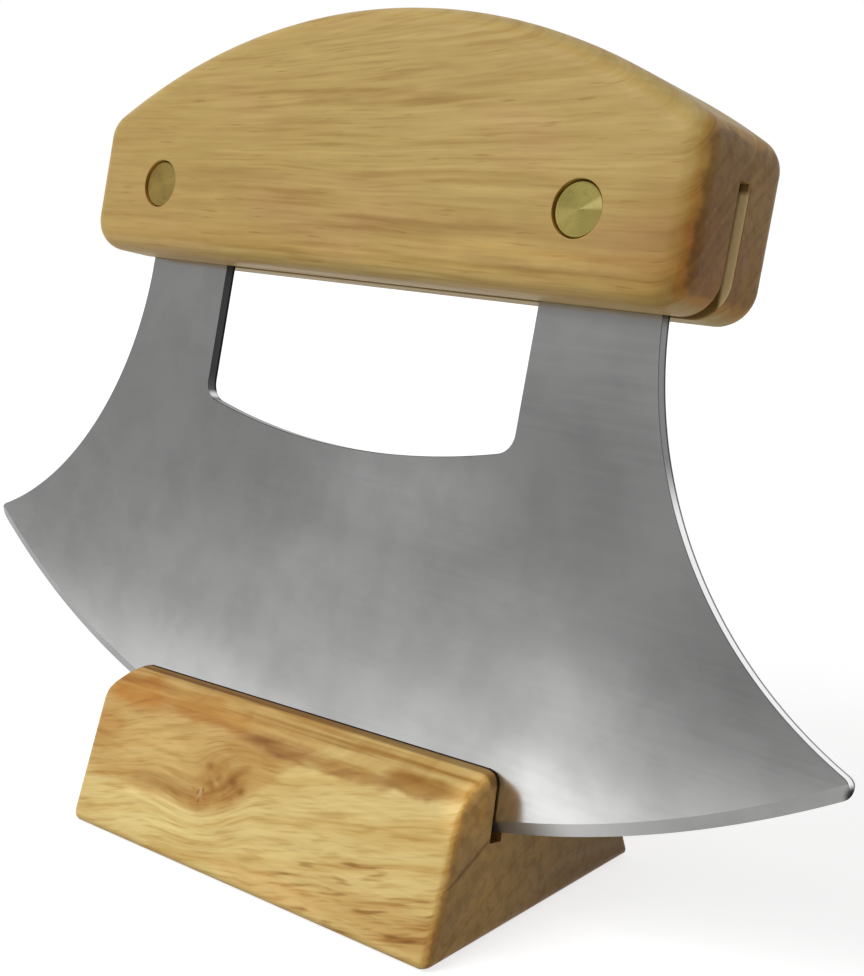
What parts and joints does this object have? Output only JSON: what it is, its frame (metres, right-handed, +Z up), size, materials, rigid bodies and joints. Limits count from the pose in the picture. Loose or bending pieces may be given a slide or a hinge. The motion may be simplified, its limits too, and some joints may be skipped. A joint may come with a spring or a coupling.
{
  "type": "ulu knife in display stand",
  "caption": "Ulu knife with a curved steel blade riveted into a domed wooden handle, leaning back in a slotted wooden display stand that it lifts out of.",
  "frame": {"origin": "middle of the stand's underside, on the table", "axes": "+X along the stand and the blade's width, +Y to the rear, where the knife leans, +Z up"},
  "size_m": [0.1513, 0.0418, 0.1122],
  "materials": {
    "handle_wood": "light birch with an oiled satin finish",
    "stand_wood": "golden birch with a knot, satin",
    "blade_steel": "satin stainless steel",
    "rivet_brass": "turned brass"
  },
  "bodies": {
    "stand": {"stand": "stand_wood"},
    "knife": {"blade": "blade_steel", "handle": "handle_wood", "rivet_sleeve_left": "rivet_brass", "rivet_sleeve_right": "rivet_brass", "rivet_pin_left": "rivet_brass", "rivet_pin_right": "rivet_brass"}
  },
  "joints": [
    {"name": "knife_lift", "type": "slide", "parent": "stand", "child": "knife", "axis": [0, 0.1908, 0.9816], "range_m": [0, 0.03]}
  ]
}
